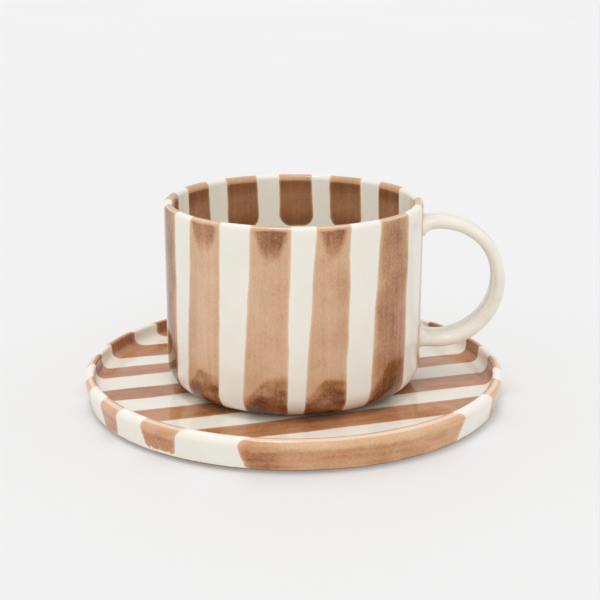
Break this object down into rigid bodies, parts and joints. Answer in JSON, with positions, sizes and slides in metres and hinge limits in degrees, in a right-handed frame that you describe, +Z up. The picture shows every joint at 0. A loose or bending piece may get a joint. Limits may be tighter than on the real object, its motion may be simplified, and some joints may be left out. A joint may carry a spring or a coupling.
{
  "type": "mug and saucer",
  "caption": "Low straight-sided ceramic mug with a round strap handle, resting on a flat saucer with an upright rim.",
  "frame": {"origin": "centre of the saucer at the level of the table under its foot ring, on the mug's own axis", "axes": "+Z up along the mug's and the saucer's common axis, +X towards the handle, +Y away from the front"},
  "size_m": [0.1454, 0.1454, 0.0699],
  "materials": {
    "striped_saucer_glaze": "gloss cream glaze with broad brushed caramel bands",
    "striped_mug_glaze": "gloss cream glaze with upright brushed caramel stripes",
    "cream_glaze": "gloss cream glaze",
    "glazed_slip": "gloss cream glaze over a smoothed bead of slip"
  },
  "bodies": {
    "saucer": {"saucer": "striped_saucer_glaze"},
    "mug": {"mug_body": "striped_mug_glaze", "mug_handle": "cream_glaze", "upper_slip_joint": "glazed_slip", "lower_slip_joint": "glazed_slip"}
  },
  "joints": [
    {"name": "mug_lift", "type": "slide", "parent": "saucer", "child": "mug", "axis": [0, 0, 1], "range_m": [0, 0.1]}
  ]
}
